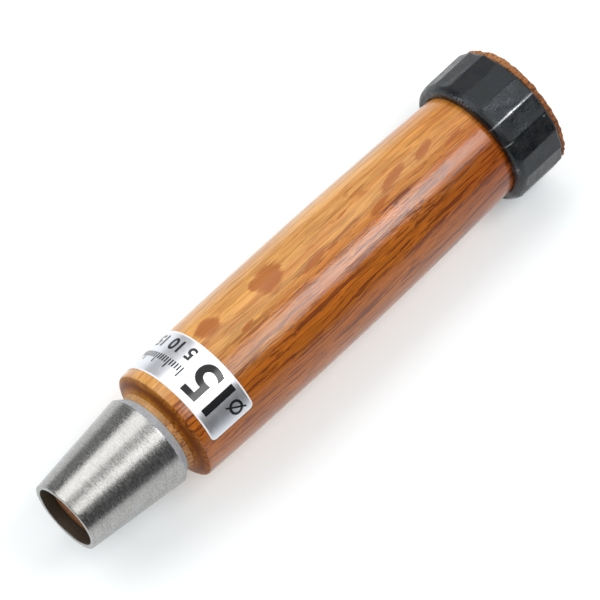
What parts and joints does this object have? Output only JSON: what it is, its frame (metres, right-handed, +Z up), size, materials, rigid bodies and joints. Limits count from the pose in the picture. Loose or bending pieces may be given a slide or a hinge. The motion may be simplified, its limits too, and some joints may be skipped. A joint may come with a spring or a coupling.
{
  "type": "bench chisel handle",
  "caption": "Turned wooden replacement handle for a struck bench chisel, with a conical steel ferrule that pulls off, a hammered iron striking hoop and a size label.",
  "frame": {"origin": "centre of the ferrule's mouth, in the plane of its rim", "axes": "+X along the handle's axis from the ferrule's mouth to the struck end, +Z up with the handle lying down, +Y to the left looking along +X"},
  "size_m": [0.1191, 0.0276, 0.0275],
  "materials": {
    "oiled_oak": "amber oak under clear gloss lacquer, bare on the tenon, collar and struck end",
    "turned_steel": "bright steel with fine turning marks round it",
    "black_iron": "forged iron with black scale, rubbed bare on some corners",
    "foil_label": "silver foil with printed numerals"
  },
  "bodies": {
    "handle_body": {"handle": "oiled_oak", "striking_hoop": "black_iron", "label": "foil_label"},
    "ferrule_body": {"ferrule": "turned_steel"}
  },
  "joints": [
    {"name": "ferrule_pull_off", "type": "slide", "parent": "handle_body", "child": "ferrule_body", "axis": [-1, 0, 0], "range_m": [0, 0.024]}
  ]
}
